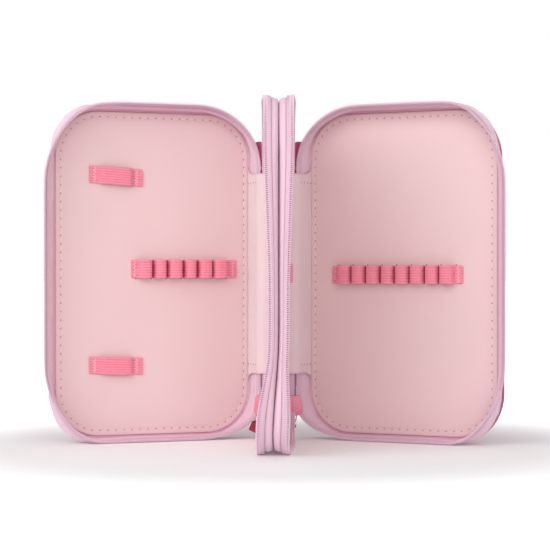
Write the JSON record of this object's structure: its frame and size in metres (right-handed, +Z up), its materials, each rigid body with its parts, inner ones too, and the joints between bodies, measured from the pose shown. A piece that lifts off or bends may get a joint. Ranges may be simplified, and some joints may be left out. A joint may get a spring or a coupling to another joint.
{
  "type": "two-tier pencil case",
  "caption": "Zipped pencil case with two tiers, standing open like a book, with a middle divider leaf, two hinged covers and elastic loops.",
  "frame": {"origin": "on the ground, at the middle of the opened case's footprint", "axes": "+Z up along the spine, +Y towards the back of the spine, the middle leaf points to -Y, +X towards the cover without tool loops"},
  "size_m": [0.275, 0.1558, 0.202],
  "materials": {
    "shell": "smooth coated outer fabric, raspberry pink",
    "piping": "folded piping, raspberry pink",
    "board": "smooth coated lining board, pale pink, stitched round",
    "gusset": "soft woven side wall, lilac pink",
    "tape": "woven zip tape, lilac pink",
    "coil": "nylon zip coil, lilac pink",
    "stop": "painted zip stop, pink",
    "elastic": "ribbed elastic, strong pink",
    "spine": "woven outer fabric, raspberry pink",
    "slider": "painted zip slider, pink",
    "bail": "painted wire bail, pink",
    "pull": "soft moulded pull tab, dark red"
  },
  "bodies": {
    "middle_leaf": {"divider_board": "board", "left_joined_chain": "coil", "middle_left_gusset": "gusset", "middle_left_hinge_lining": "board", "middle_left_lining": "board", "middle_left_zip_coil": "coil", "middle_left_zip_stop": "stop", "middle_left_zip_tape": "tape", "middle_pencil_loops": "elastic", "middle_right_gusset": "gusset", "middle_right_hinge_lining": "board", "middle_right_lining": "board", "middle_right_zip_coil": "coil", "middle_right_zip_stop": "stop", "middle_right_zip_tape": "tape", "right_joined_chain": "coil", "spine_centre_strip": "spine"},
    "left_cover": {"left_gusset": "gusset", "left_hinge_lining": "board", "left_lining_board": "board", "left_lower_tool_loop": "elastic", "left_pencil_loops": "elastic", "left_piping": "piping", "left_shell": "shell", "left_spine_wall": "spine", "left_upper_tool_loop": "elastic", "left_zip_coil": "coil", "left_zip_stop": "stop", "left_zip_tape": "tape"},
    "right_cover": {"right_gusset": "gusset", "right_hinge_lining": "board", "right_lining_board": "board", "right_pencil_loops": "elastic", "right_piping": "piping", "right_shell": "shell", "right_spine_wall": "spine", "right_zip_coil": "coil", "right_zip_stop": "stop", "right_zip_tape": "tape"},
    "left_slider": {"left_slider": "slider"},
    "right_slider": {"right_slider": "slider"},
    "left_pull": {"left_pull_bail": "bail", "left_pull_tab": "pull"},
    "right_pull": {"right_pull_bail": "bail", "right_pull_tab": "pull"}
  },
  "joints": [
    {"name": "left_cover_fold", "type": "hinge", "parent": "middle_leaf", "child": "left_cover", "pos_m": [-0.00757, 0.05959, 0.101], "axis": [0, 0, -1], "range_deg": [-68, 37]},
    {"name": "right_cover_fold", "type": "hinge", "parent": "middle_leaf", "child": "right_cover", "pos_m": [0.01303, 0.05959, 0.101], "axis": [0, 0, 1], "range_deg": [-62, 43]},
    {"name": "left_slider_run", "type": "slide", "parent": "middle_leaf", "child": "left_slider", "axis": [0, 0, 1], "range_m": [0, 0.005]},
    {"name": "left_pull_swing", "type": "hinge", "parent": "left_slider", "child": "left_pull", "pos_m": [-0.00757, 0.06144, 0.02025], "axis": [1, 0, 0], "range_deg": [0, 15]},
    {"name": "right_slider_run", "type": "slide", "parent": "middle_leaf", "child": "right_slider", "axis": [0, 0, 1], "range_m": [0, 0.005]},
    {"name": "right_pull_swing", "type": "hinge", "parent": "right_slider", "child": "right_pull", "pos_m": [0.01303, 0.06144, 0.02025], "axis": [1, 0, 0], "range_deg": [0, 15]}
  ]
}
